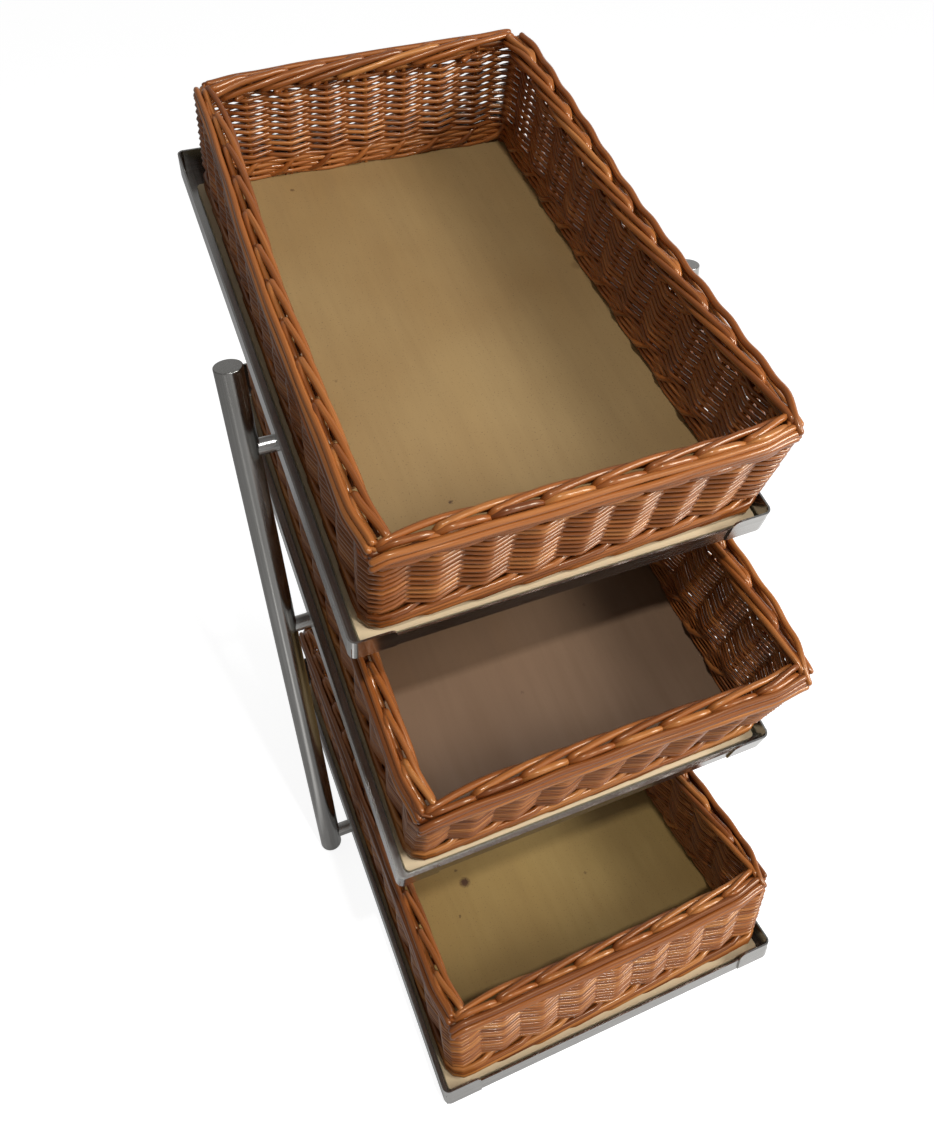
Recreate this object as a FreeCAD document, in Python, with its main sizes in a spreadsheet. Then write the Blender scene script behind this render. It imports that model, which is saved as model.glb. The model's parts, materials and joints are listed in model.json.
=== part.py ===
import FreeCAD, Part
import math
import os
import Sketcher

# Counter stand for bread: three willow baskets with plywood bottoms, each in a folded stainless tray.
# The trays hang between two round posts, the upper two sloping down to the front.
# Millimetres. X runs across, Y from front to back, Z up.
# The origin lies on the counter, in the middle of the stand's footprint box.

# Driving sizes: alias, value, what it measures
SIZES = [
    ("board_width", 315, "plywood bottom of a basket, across, without its ledge"),
    ("board_depth", 495, "plywood bottom of a basket, front to back, without its ledge"),
    ("left_ledge", 8, "plywood that shows past the weave on the left"),
    ("front_ledge", 8, "plywood that shows past the weave at the front"),
    ("board_thickness", 6, "plywood bottom"),
    ("board_corner", 4, "corner radius of the plywood bottom"),
    ("board_ease", 0.8, "eased top edge of the plywood bottom"),
    ("basket_height", 110, "from under the plywood to the top of the border"),
    ("basket_corner", 16, "corner radius of the woven wall, outside"),
    ("inside_corner", 1, "corner radius inside the wale, the woven wall and the border"),
    ("wall_thickness", 11, "woven wall: stakes with weavers on both sides"),
    ("wall_inset", 1, "woven wall's outside behind the plywood's edge where there is no ledge"),
    ("stake_pitch", 39, "spacing of the woven wall's stakes, made to fit whole bays"),
    ("hollow_depth", 3.5, "woven wall's hollow between two stakes, on each face"),
    ("wale_height", 22, "thicker twisted rods above the plywood"),
    ("wale_swell", 1, "wale's overhang past the woven wall, inside and out"),
    ("border_height", 19, "laid border along the top edge"),
    ("border_overhang", 7, "border past the woven wall, outside"),
    ("border_lap", 3, "border past the woven wall, inside"),
    ("border_round", 7, "rounding of the border's top"),
    ("sheet", 1.5, "thickness of the trays' sheet"),
    ("flange_height", 26, "trays' side and back flanges, with the floor"),
    ("lip_height", 16, "trays' front lip, with the floor"),
    ("tab_length", 34, "side flange wrapped round the front corner"),
    ("tab_round", 6, "rounded free end of that tab"),
    ("tray_corner", 6, "upright corner bends of a tray, outside"),
    ("fold_radius", 2.5, "bends along a tray's floor, outside"),
    ("side_clearance", 5, "plywood to flange on each side of a basket in the middle"),
    ("front_clearance", 5, "plywood to front lip"),
    ("back_clearance", 27.5, "plywood to back flange"),
    ("upper_tilt", 19.5, "slope of the top and middle tray, in degrees"),
    ("top_right_gap", 1.5, "top basket to the right flange"),
    ("middle_right_gap", 2, "middle basket to the right flange"),
    ("bottom_right_gap", 5, "bottom basket to the right flange"),
    ("post_diameter", 22, "posts, outside"),
    ("post_wall", 2, "posts' tube wall"),
    ("post_above", 71, "posts past the top standoffs"),
    ("post_lift", 2, "gap between a post's foot plug and the counter"),
    ("cap_thickness", 3, "disc that closes a post's top"),
    ("cap_round", 0.8, "eased edge of that disc"),
    ("plug_height", 6, "plug that closes a post's lower end, below the tube"),
    ("plug_round", 4.5, "rounded lower edge of that plug"),
    ("spigot_length", 9, "stem of a cap or plug inside the tube"),
    ("spigot_clearance", 0.1, "stem to tube wall"),
    ("standoff_diameter", 14, "round bar between post and tray"),
    ("standoff_length", 12.5, "clear gap between post and tray"),
    ("weld_gap", 0.1, "standoff's hollowed end to the post"),
    ("top_offset", 187, "top tray's front edge to its standoffs, along the tray"),
    ("middle_offset", 239, "middle tray's front edge to its standoffs, along the tray"),
    ("bottom_offset", 292, "bottom tray's front edge to its standoffs"),
    ("middle_rise", 320, "bottom standoffs to middle standoffs"),
    ("top_rise", 193, "middle standoffs to top standoffs"),
    ("foot_height", 8, "rubber feet under the bottom tray"),
    ("foot_diameter", 24, "rubber feet, at the tray"),
    ("foot_taper", 2, "rubber feet, narrower at the counter by this radius"),
    ("foot_inset", 34, "rubber feet's centres from the tray's outside"),
]

# Sizes that follow from the driving ones, as expressions over the sheet
BOARD_ACROSS = "(Sizes.board_width + Sizes.left_ledge)"
BOARD_ALONG = "(Sizes.board_depth + Sizes.front_ledge)"
TRAY_WIDTH = f"({BOARD_ACROSS} + 2 * Sizes.side_clearance + 2 * Sizes.sheet)"
TRAY_DEPTH = f"({BOARD_ALONG} + Sizes.front_clearance + Sizes.back_clearance + 3 * Sizes.sheet)"
POST_BASE = "(Sizes.post_lift + Sizes.plug_height)"
TOP_STANDOFFS = "(Sizes.foot_height + Sizes.flange_height / 2 + Sizes.middle_rise + Sizes.top_rise)"
POST_LENGTH = f"({TOP_STANDOFFS} + Sizes.post_above - {POST_BASE})"
POST_BORE = "(Sizes.post_diameter - 2 * Sizes.post_wall)"
SPIGOT = "(Sizes.post_diameter - 2 * Sizes.post_wall - 2 * Sizes.spigot_clearance)"
WALL_BASE = "(Sizes.board_thickness + Sizes.wale_height)"
BORDER_BASE = "(Sizes.basket_height - Sizes.border_height)"
WALL_HEIGHT = "(Sizes.basket_height - Sizes.border_height - Sizes.board_thickness - Sizes.wale_height)"

WALL_FRONT = "Sizes.wall_inset"
WALL_SIDE = "(Sizes.board_width / 2 - Sizes.wall_inset)"
WALL_BACK = "(Sizes.board_depth - Sizes.wall_inset)"
SPAN_ACROSS = f"(2 * {WALL_SIDE} - Sizes.wall_thickness)"
SPAN_ALONG = f"({WALL_BACK} - {WALL_FRONT} - Sizes.wall_thickness)"
# Length along the wall that keeps its full thickness at a stake, so that no hollow reaches an inside corner
CREST = "(Sizes.wall_thickness + 3 * Sizes.inside_corner)"

LEVELS = ("bottom", "middle", "top")
SIDES = (("left", -1), ("right", 1))
ENDS = (("front", 0), ("back", 1))
NEAR = 1e-4

doc = FreeCAD.newDocument("bread_basket_stand")
sheet = doc.addObject("Spreadsheet::Sheet", "Sizes")
for row, (alias, value, meaning) in enumerate(SIZES, start=1):
    sheet.set(f"A{row}", meaning)
    sheet.set(f"B{row}", str(value))
    sheet.setAlias(f"B{row}", alias)
doc.recompute()

nodes = []


def size(expression):
    """The value of an expression over the sheet."""
    return float(sheet.evalExpression(expression))


def vector(x, y, z):
    return FreeCAD.Vector(x, y, z)


def moved(x, y, z):
    """A placement that only shifts."""
    return FreeCAD.Placement(vector(x, y, z), FreeCAD.Rotation())


def new_body(name):
    body = doc.addObject("PartDesign::Body", name)
    body.Label = name
    nodes.append(body)
    return body


def new_sketch(body, role, lift=None):
    """A sketch on one of the body's own origin planes, raised by an expression if one is given."""
    support = next(plane for plane in body.Origin.OriginFeatures if plane.Role == role)
    sketch = body.newObject("Sketcher::SketchObject", "Sketch")
    sketch.AttachmentSupport = [(support, "")]
    sketch.MapMode = "FlatFace"
    if lift:
        sketch.setExpression("AttachmentOffset.Base.z", lift)
    return sketch


def bind(sketch, constraint, expression):
    """Adds a dimension to a sketch and ties it to the sheet."""
    index = sketch.addConstraint(constraint)
    name = f"size_{index}"
    sketch.renameConstraint(index, name)
    sketch.setExpression(f"Constraints.{name}", expression)


def add_rounded_rectangle(sketch, width, depth, radius, front):
    """A closed outline centred on the sketch's Y axis, from the expression front backwards."""
    x = size(width) / 2
    near = size(front)
    far = near + size(depth)
    r = size(radius)
    first = sketch.GeometryCount

    def side(start, end):
        return Part.LineSegment(vector(*start, 0), vector(*end, 0))

    def corner(centre, quarter):
        circle = Part.Circle(vector(*centre, 0), vector(0, 0, 1), r)
        return Part.ArcOfCircle(circle, quarter * math.pi / 2, (quarter + 1) * math.pi / 2)

    sketch.addGeometry([
        side((-x + r, near), (x - r, near)), corner((x - r, near + r), 3),
        side((x, near + r), (x, far - r)), corner((x - r, far - r), 0),
        side((x - r, far), (-x + r, far)), corner((-x + r, far - r), 1),
        side((-x, far - r), (-x, near + r)), corner((-x + r, near + r), 2),
    ], False)
    front_side, right_side, back_side, left_side = (first + step for step in (0, 2, 4, 6))
    for step in range(8):
        follower = first + (step + 1) % 8
        sketch.addConstraint(Sketcher.Constraint("Tangent", first + step, 2, follower, 1))
    sketch.addConstraint(Sketcher.Constraint("Symmetric", front_side, 1, front_side, 2, -2))
    sketch.addConstraint(Sketcher.Constraint("Horizontal", back_side))
    sketch.addConstraint(Sketcher.Constraint("Vertical", left_side))
    sketch.addConstraint(Sketcher.Constraint("Vertical", right_side))
    for step in (3, 5, 7):
        sketch.addConstraint(Sketcher.Constraint("Equal", first + 1, first + step))
    bind(sketch, Sketcher.Constraint("Radius", first + 1, r), radius)
    bind(sketch, Sketcher.Constraint("DistanceX", left_side, 1, right_side, 1, 2 * x), width)
    bind(sketch, Sketcher.Constraint("DistanceY", front_side, 1, back_side, 1, far - near), depth)
    if abs(near) < NEAR:
        sketch.addConstraint(Sketcher.Constraint("PointOnObject", front_side, 1, -1))
    else:
        bind(sketch, Sketcher.Constraint("DistanceY", -1, 1, front_side, 1, near), front)


def add_rectangle(sketch, width, low, height):
    """A plain outline centred on the sketch's Y axis, from the expression low upwards."""
    x = size(width) / 2
    bottom = size(low)
    top = bottom + size(height)
    first = sketch.GeometryCount
    points = [vector(-x, bottom, 0), vector(x, bottom, 0), vector(x, top, 0), vector(-x, top, 0)]
    for step in range(4):
        sketch.addGeometry(Part.LineSegment(points[step], points[(step + 1) % 4]), False)
    for step in range(4):
        follower = first + (step + 1) % 4
        sketch.addConstraint(Sketcher.Constraint("Coincident", first + step, 2, follower, 1))
    sketch.addConstraint(Sketcher.Constraint("Symmetric", first, 1, first, 2, -2))
    sketch.addConstraint(Sketcher.Constraint("Horizontal", first + 2))
    sketch.addConstraint(Sketcher.Constraint("Vertical", first + 1))
    sketch.addConstraint(Sketcher.Constraint("Vertical", first + 3))
    bind(sketch, Sketcher.Constraint("DistanceX", first, 1, first, 2, 2 * x), width)
    bind(sketch, Sketcher.Constraint("DistanceY", first + 1, 1, first + 1, 2, top - bottom), height)
    if abs(bottom) < NEAR:
        sketch.addConstraint(Sketcher.Constraint("PointOnObject", first, 1, -1))
    else:
        bind(sketch, Sketcher.Constraint("DistanceY", -1, 1, first, 1, bottom), low)


def add_circle(sketch, diameter):
    """A circle about the sketch's origin."""
    circle = Part.Circle(vector(0, 0, 0), vector(0, 0, 1), size(diameter) / 2)
    index = sketch.addGeometry(circle, False)
    sketch.addConstraint(Sketcher.Constraint("Coincident", index, 3, -1, 1))
    bind(sketch, Sketcher.Constraint("Diameter", index, size(diameter)), diameter)


def add_pad(body, sketch, length, downwards=False):
    pad = body.newObject("PartDesign::Pad", "Pad")
    pad.Profile = sketch
    pad.Reversed = downwards
    pad.setExpression("Length", length)
    doc.recompute()
    return pad


def add_fillet(body, base, wanted, radius):
    """Rounds those edges of the base feature that the test wanted picks."""
    names = [f"Edge{index}" for index, edge in enumerate(base.Shape.Edges, start=1) if wanted(edge)]
    fillet = body.newObject("PartDesign::Fillet", "Fillet")
    fillet.Base = (base, names)
    fillet.setExpression("Radius", radius)
    doc.recompute()
    return fillet


def lies_at(height):
    """A test for edges that lie flat at a height."""
    return lambda edge: all(abs(vertex.Z - height) < NEAR for vertex in edge.Vertexes)


def make_tray(name, placement):
    """Folded sheet: floor, flanges with round corners, front lip behind the wrapped tabs."""
    body = new_body(name)
    floor = new_sketch(body, "XY_Plane")
    add_rounded_rectangle(floor, TRAY_WIDTH, TRAY_DEPTH, "Sizes.tray_corner", "0")
    add_pad(body, floor, "Sizes.sheet")

    inner_width = f"{TRAY_WIDTH} - 2 * Sizes.sheet"
    flanges = new_sketch(body, "XY_Plane")
    add_rounded_rectangle(flanges, TRAY_WIDTH, TRAY_DEPTH, "Sizes.tray_corner", "0")
    add_rounded_rectangle(flanges, inner_width, f"{TRAY_DEPTH} - 2 * Sizes.sheet",
                          "Sizes.tray_corner - Sizes.sheet", "Sizes.sheet")
    walls = add_pad(body, flanges, "Sizes.flange_height")
    folded = add_fillet(body, walls, lies_at(0), "Sizes.fold_radius")

    opening_width = f"{TRAY_WIDTH} - 2 * Sizes.tab_length"
    opening = new_sketch(body, "XZ_Plane")
    add_rectangle(opening, opening_width, "0", "Sizes.flange_height")
    cut = body.newObject("PartDesign::Pocket", "Pocket")
    cut.Profile = opening
    cut.setExpression("Length", "Sizes.sheet")
    doc.recompute()
    removed = folded.Shape.Volume - cut.Shape.Volume
    if removed < size(f"{opening_width} * Sizes.sheet") * size("Sizes.flange_height - Sizes.fold_radius"):
        raise RuntimeError(f"{name}: the front opening was not cut")

    reach = size(opening_width) / 2
    top = size("Sizes.flange_height")

    def is_tab_end(edge):
        at_top = lies_at(top)(edge)
        return at_top and all(abs(abs(vertex.X) - reach) < NEAR for vertex in edge.Vertexes)

    add_fillet(body, cut, is_tab_end, "Sizes.tab_round")

    lip = new_sketch(body, "XY_Plane", "Sizes.sheet / 2")
    add_rectangle(lip, inner_width, "Sizes.sheet", "Sizes.sheet")
    add_pad(body, lip, "Sizes.lip_height - Sizes.sheet / 2")
    body.Placement = placement


def make_post(side, sign):
    """A tube with a disc on top and a rounded plug in its lower end."""
    x = sign * post_x
    bottom = size(POST_BASE)
    top = bottom + size(POST_LENGTH)
    tube = new_body(f"{side}_post")
    ring = new_sketch(tube, "XY_Plane")
    add_circle(ring, "Sizes.post_diameter")
    add_circle(ring, POST_BORE)
    add_pad(tube, ring, POST_LENGTH)
    tube.Placement = moved(x, post_y, bottom)

    cap = new_body(f"{side}_post_cap")
    disc = new_sketch(cap, "XY_Plane")
    add_circle(disc, "Sizes.post_diameter")
    closed = add_pad(cap, disc, "Sizes.cap_thickness")
    add_fillet(cap, closed, lies_at(size("Sizes.cap_thickness")), "Sizes.cap_round")
    stem = new_sketch(cap, "XY_Plane")
    add_circle(stem, SPIGOT)
    add_pad(cap, stem, "Sizes.spigot_length", downwards=True)
    cap.Placement = moved(x, post_y, top)

    plug = new_body(f"{side}_post_plug")
    end = new_sketch(plug, "XY_Plane")
    add_circle(end, "Sizes.post_diameter")
    closed = add_pad(plug, end, "Sizes.plug_height")
    add_fillet(plug, closed, lies_at(0), "Sizes.plug_round")
    stem = new_sketch(plug, "XY_Plane", "Sizes.plug_height")
    add_circle(stem, SPIGOT)
    add_pad(plug, stem, "Sizes.spigot_length")
    plug.Placement = moved(x, post_y, bottom - size("Sizes.plug_height"))


def make_standoff(name, sign, height):
    """A round bar across the gap, its end hollowed to lie against the post."""
    bar = doc.addObject("Part::Cylinder", f"{name}_bar")
    bar.setExpression("Radius", "Sizes.standoff_diameter / 2")
    bar.setExpression("Height", "Sizes.standoff_length + Sizes.post_diameter / 2")
    towards_post = FreeCAD.Rotation(vector(0, 1, 0), 90 * sign)
    bar.Placement = FreeCAD.Placement(vector(sign * size(TRAY_WIDTH) / 2, post_y, height), towards_post)

    hollow = doc.addObject("Part::Cylinder", f"{name}_hollow")
    hollow.setExpression("Radius", "Sizes.post_diameter / 2 + Sizes.weld_gap")
    hollow.setExpression("Height", "2 * Sizes.standoff_diameter")
    hollow.Placement = moved(sign * post_x, post_y, height - size("Sizes.standoff_diameter"))

    standoff = doc.addObject("Part::Cut", name)
    standoff.Label = name
    standoff.Base = bar
    standoff.Tool = hollow
    nodes.append(standoff)


def make_foot(name, x, y):
    """A tapered rubber foot under the bottom tray."""
    foot = doc.addObject("Part::Cone", name)
    foot.Label = name
    foot.setExpression("Radius1", "Sizes.foot_diameter / 2 - Sizes.foot_taper")
    foot.setExpression("Radius2", "Sizes.foot_diameter / 2")
    foot.setExpression("Height", "Sizes.foot_height")
    foot.Placement = moved(x, y, 0)
    nodes.append(foot)


def make_ring(name, base, height, outward, inward, placement):
    """A closed band round the basket: outward and inward measure from the woven wall's two faces."""
    inset = f"(Sizes.wall_inset - {outward})"
    body = new_body(name)
    sketch = new_sketch(body, "XY_Plane", base)
    add_rounded_rectangle(sketch, f"Sizes.board_width - 2 * {inset}", f"Sizes.board_depth - 2 * {inset}",
                          f"Sizes.basket_corner + {outward}", inset)
    inside = f"(Sizes.wall_inset + Sizes.wall_thickness + {inward})"
    add_rounded_rectangle(sketch, f"Sizes.board_width - 2 * {inside}", f"Sizes.board_depth - 2 * {inside}",
                          "Sizes.inside_corner", inside)
    band = add_pad(body, sketch, height)
    body.Placement = placement
    return body, band


def add_hollow(sketch, chord, quarter, x, y):
    """A circle's segment: its chord is centred on the expressions x and y, and its arc bulges by the hollow's
    depth, in a direction counted in quarter turns from the X axis."""
    radius = f"({chord} * {chord} / (8 * Sizes.hollow_depth) + Sizes.hollow_depth / 2)"
    r = size(radius)
    heading = quarter * math.pi / 2
    bulge = vector(math.cos(heading), math.sin(heading), 0)
    centre = vector(size(x), size(y), 0) + bulge * (size("Sizes.hollow_depth") - r)
    half = math.asin(size(chord) / 2 / r)
    curve = Part.ArcOfCircle(Part.Circle(centre, vector(0, 0, 1), r), heading - half, heading + half)
    arc = sketch.addGeometry(curve, False)
    line = sketch.addGeometry(Part.LineSegment(curve.EndPoint, curve.StartPoint), False)
    sketch.addConstraint(Sketcher.Constraint("Coincident", arc, 2, line, 1))
    sketch.addConstraint(Sketcher.Constraint("Coincident", line, 2, arc, 1))
    across = quarter in (1, 3)
    low, high = (1, 2) if quarter in (1, 2) else (2, 1)
    sketch.addConstraint(Sketcher.Constraint("Horizontal" if across else "Vertical", line))
    reach = "DistanceX" if across else "DistanceY"
    bind(sketch, Sketcher.Constraint(reach, line, low, line, high, size(chord)), chord)
    bind(sketch, Sketcher.Constraint("Radius", arc, r), radius)
    corner_x = f"{x} - {chord} / 2" if across else x
    corner_y = y if across else f"{y} - {chord} / 2"
    bind(sketch, Sketcher.Constraint("DistanceX", -1, 1, line, low, size(corner_x)), corner_x)
    bind(sketch, Sketcher.Constraint("DistanceY", -1, 1, line, low, size(corner_y)), corner_y)


def split_span(span):
    """Whole bays between the stakes of a span, and the expression for a bay's length."""
    count = round(size(f"{span} / Sizes.stake_pitch"))
    return count, f"({span} / {count})"


def hollow_bays(body, axis, count, bay, segments):
    """Cuts the first bay's hollows through the wall's height and repeats them along the axis."""
    sketch = new_sketch(body, "XY_Plane", WALL_BASE)
    for quarter, x, y in segments:
        add_hollow(sketch, f"({bay} - {CREST})", quarter, x, y)
    cut = body.newObject("PartDesign::Pocket", "Pocket")
    cut.Profile = sketch
    cut.Reversed = True
    cut.setExpression("Length", WALL_HEIGHT)
    doc.recompute()
    pattern = body.newObject("PartDesign::LinearPattern", "LinearPattern")
    pattern.Originals = [cut]
    pattern.Direction = (next(line for line in body.Origin.OriginFeatures if line.Role == axis), [""])
    pattern.Occurrences = count
    pattern.setExpression("Length", f"{count - 1} * {bay}")
    body.Tip = pattern
    doc.recompute()


def make_wall(name, placement):
    """The woven wall: a band with a hollow on both faces between every two stakes."""
    body, band = make_ring(name, WALL_BASE, WALL_HEIGHT, "0", "0", placement)
    count_across, bay_across = split_span(SPAN_ACROSS)
    count_along, bay_along = split_span(SPAN_ALONG)
    first_x = f"(({bay_across} - {SPAN_ACROSS}) / 2)"
    first_y = f"({WALL_FRONT} + (Sizes.wall_thickness + {bay_along}) / 2)"
    hollow_bays(body, "X_Axis", count_across, bay_across, [
        (1, first_x, WALL_FRONT), (3, first_x, f"({WALL_FRONT} + Sizes.wall_thickness)"),
        (1, first_x, f"({WALL_BACK} - Sizes.wall_thickness)"), (3, first_x, WALL_BACK),
    ])
    hollow_bays(body, "Y_Axis", count_along, bay_along, [
        (0, f"(-{WALL_SIDE})", first_y), (2, f"(Sizes.wall_thickness - {WALL_SIDE})", first_y),
        (0, f"({WALL_SIDE} - Sizes.wall_thickness)", first_y), (2, WALL_SIDE, first_y),
    ])
    chords = 4 * size(f"{SPAN_ACROSS} + {SPAN_ALONG} - {count_across + count_along} * {CREST}")
    least = chords * size(f"{WALL_HEIGHT} * Sizes.hollow_depth / 2")
    if len(body.Shape.Solids) != 1 or band.Shape.Volume - body.Shape.Volume < least:
        raise RuntimeError(f"{name}: the hollows are not as they should be")


def make_basket(name, placement):
    """Plywood bottom, wale, woven wall and laid border, stacked."""
    board = new_body(f"{name}_board")
    outline = new_sketch(board, "XY_Plane")
    add_rounded_rectangle(outline, BOARD_ACROSS, BOARD_ALONG, "Sizes.board_corner", "-Sizes.front_ledge")
    plate = add_pad(board, outline, "Sizes.board_thickness")
    add_fillet(board, plate, lies_at(size("Sizes.board_thickness")), "Sizes.board_ease")
    board.Placement = placement.multiply(moved(-size("Sizes.left_ledge") / 2, 0, 0))

    make_ring(f"{name}_wale", "Sizes.board_thickness", "Sizes.wale_height",
              "Sizes.wale_swell", "Sizes.wale_swell", placement)
    make_wall(f"{name}_wall", placement)
    border, band = make_ring(f"{name}_border", BORDER_BASE, "Sizes.border_height",
                             "Sizes.border_overhang", "Sizes.border_lap", placement)
    add_fillet(border, band, lies_at(size("Sizes.basket_height")), "Sizes.border_round")


# Where the standoffs sit on the trays and on the posts
tilt = {"bottom": 0.0, "middle": size("Sizes.upper_tilt"), "top": size("Sizes.upper_tilt")}
offset = {level: size(f"Sizes.{level}_offset") for level in LEVELS}
half_flange = size("Sizes.flange_height") / 2
standoff_z = {"bottom": size("Sizes.foot_height") + half_flange, "top": size(TOP_STANDOFFS)}
standoff_z["middle"] = standoff_z["bottom"] + size("Sizes.middle_rise")

# The posts stand where the footprint box, from the bottom tray's front to the top tray's back, is centred
slope = math.radians(tilt["top"])
reach_behind = (size(TRAY_DEPTH) - offset["top"]) * math.cos(slope) + half_flange * math.sin(slope)
post_y = (offset["bottom"] - reach_behind) / 2
post_x = size(f"{TRAY_WIDTH} / 2 + Sizes.standoff_length + Sizes.post_diameter / 2")


def tray_placement(level):
    """The tray's front lower edge, so that its standoffs meet the posts."""
    turn = FreeCAD.Rotation(vector(1, 0, 0), tilt[level])
    seat = turn.multVec(vector(0, offset[level], half_flange))
    return FreeCAD.Placement(vector(0, post_y, standoff_z[level]) - seat, turn)


def basket_placement(level):
    """On the tray's floor, pushed towards its right flange."""
    shift = size(f"Sizes.left_ledge / 2 + Sizes.side_clearance - Sizes.{level}_right_gap")
    setback = size("2 * Sizes.sheet + Sizes.front_clearance + Sizes.front_ledge")
    return tray_placement(level).multiply(moved(shift, setback, size("Sizes.sheet")))


for side, sign in SIDES:
    make_post(side, sign)
    for level in LEVELS:
        make_standoff(f"{level}_{side}_standoff", sign, standoff_z[level])

for level in LEVELS:
    make_tray(f"{level}_tray", tray_placement(level))
    make_basket(f"{level}_basket", basket_placement(level))

bottom_front = tray_placement("bottom").Base.y
inset = size("Sizes.foot_inset")
foot_span = size(TRAY_DEPTH) - 2 * inset
for end, step in ENDS:
    for side, sign in SIDES:
        foot_x = sign * (size(TRAY_WIDTH) / 2 - inset)
        make_foot(f"{end}_{side}_foot", foot_x, bottom_front + inset + step * foot_span)

doc.recompute()
failed = [item.Label for item in doc.Objects if "Invalid" in item.State or "Error" in item.State]
failed += [node.Label for node in nodes if node.Shape.isNull() or not node.Shape.isValid()]
if failed:
    raise RuntimeError(f"not built: {failed}")

os.makedirs("parts", exist_ok=True)
for node in nodes:
    node.Shape.exportStep(f"parts/{node.Label}.step")
    box = node.Shape.BoundBox
    print(f"{node.Label}: {len(node.Shape.Solids)} solid, {node.Shape.Volume / 1000:.1f} cm3, "
          f"Y {box.YMin:.1f} to {box.YMax:.1f}, Z {box.ZMin:.1f} to {box.ZMax:.1f}")
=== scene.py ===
import json
import math

import bpy
import numpy as np
from mathutils import Matrix, Quaternion, Vector


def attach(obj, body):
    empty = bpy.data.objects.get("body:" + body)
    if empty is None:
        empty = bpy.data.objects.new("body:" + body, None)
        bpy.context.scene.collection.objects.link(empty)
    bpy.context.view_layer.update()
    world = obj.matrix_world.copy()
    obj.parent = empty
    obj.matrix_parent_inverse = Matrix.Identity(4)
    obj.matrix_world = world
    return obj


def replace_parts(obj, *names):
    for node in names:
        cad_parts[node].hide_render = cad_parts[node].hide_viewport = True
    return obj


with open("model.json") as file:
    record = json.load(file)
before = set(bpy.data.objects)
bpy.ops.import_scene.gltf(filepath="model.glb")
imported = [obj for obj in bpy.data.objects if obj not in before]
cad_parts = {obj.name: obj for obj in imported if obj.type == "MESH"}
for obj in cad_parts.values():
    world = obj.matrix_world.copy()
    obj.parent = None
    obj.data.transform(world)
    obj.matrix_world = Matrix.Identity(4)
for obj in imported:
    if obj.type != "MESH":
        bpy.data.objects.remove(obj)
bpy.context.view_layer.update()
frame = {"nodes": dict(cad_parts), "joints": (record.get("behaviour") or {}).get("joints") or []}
MM = 0.001
LEVELS = ("top", "middle", "bottom")
# Sides of a basket, counted from the front by way of the right
FRONT, RIGHT = 0, 1

# Willow: bays between stakes, rod diameters and how far a weaver swings about the wall's middle
BAYS_ACROSS = 8
BAYS_ALONG = 12
STAKE = 4.8 * MM
CORNER_POST = 9 * MM
STUB = 2.6 * MM
SWING = 5.4 * MM
WALE_ROD = 5.4 * MM
WALE_RODS = 4
BORDER_ROD = 5.5 * MM
BORDER_CORE = 7 * MM
ROD_SIDES = 8

# A weaver runs nearly straight from stake to stake and bends sharply in front of each; steps along a bay
BEND = 0.985
BAY_STEPS = np.array([0, 0.08, 0.24, 0.5, 0.76, 0.92])
# Rows of weavers lie further apart at the corners, by this share
CORNER_SPREAD = 0.1

# Diameter of a basket's weavers and the pitch of their rows
WEAVERS = {
    "top": (3.9 * MM, 2.85 * MM),
    "middle": (2.7 * MM, 1.95 * MM),
    "bottom": (3.5 * MM, 2.55 * MM),
}

# The foot line runs round a basket, this far outside its solid wall. It is the board's edge where there is no
# ledge, and outsets are measured from it.
WALL_INSET = 1 * MM
# The woven wall leans out from its foot to the rim
FOOT_OUTSET = 0.2 * MM
TOP_OUTSET = 6.0 * MM
WALL_CORNER = 6 * MM
# Under the border and behind the wale the weavers lie flatter, as a lining
WEAVE_UNDER_RIM = 22.5 * MM
LINING_UNDER_RIM = 12 * MM
LINING_SWING = 1.6 * MM
LINING_INSET = 1.6 * MM

# Unevenness: a row's drift outwards and upwards, a wale rod's drift, a long border rod's drift and each
# border rod's own offset in millimetres, and a stake's drift in bays
ROW_DRIFT_OUT = 0.35 * MM
ROW_DRIFT_UP = 0.5 * MM
WALE_DRIFT = 0.4 * MM
BORDER_DRIFT = 0.7
BORDER_OFFSET = 0.3
STAKE_DRIFT = 0.03

# A stake's stub lies on the ledge, this many bays beside the stake, and ends short of the foot line
STUB_ASIDE = 0.15
STUB_SHORT = (-2.4, -0.8)

# A wale rod: share of its stroke where it is behind a stake, width of that dip, bays that the wale is moved
# along, and how much less than a weaver it swings
WALE_BEHIND = 0.92
WALE_REACH = 0.2
WALE_ALONG = 0.2
WALE_LESS_SWING = 0.8 * MM

# How the rim departs from an even one, in millimetres outwards and upwards: at the front left corner, then
# by turns at the middle of each side and at each corner, by way of the front
RIM_FLARE = {
    "top": (0, 0, 2.5, 0, -5, 0, -7, 0),
    "middle": (0, 0, 8, 8, 0, 0, 0, 0),
    "bottom": (0, 0, -1, -2, 0, 0, 0, 0),
}
RIM_LIFT = {
    "top": (2, 0, 4, -2, 15, 9, 9, 0),
    "middle": (2, 2, 17, 5, 2, 0, 2, 0),
    "bottom": (2, 0, 4, -1, 2, 0, 2, 0),
}
# How far the weave's foot reaches out onto the board's ledge, at the same places
FOOT_REACH = (5.5, 5.5, 3.5, 0, 0, 0, 3, 5)

# Border, in millimetres and bays. Where a rod lies on the rim's cross-section: step, outset from the foot
# line, depth under the rim
OUTER_LAY = np.array([(0, -1.6, 3.2), (1, 2.8, 6.2), (2, 4.4, 11.0), (3, 3.2, 15.8), (4, -2.0, 18.6)])
# Long rods of a side: share of the side where one begins, its step in the lay there and at the side's end
OUTER_RODS = ((0.0, 1.0, 0.3), (0.0, 2.0, 1.2), (0.0, 3.0, 2.15), (0.3, 4.0, 3.1))
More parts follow.
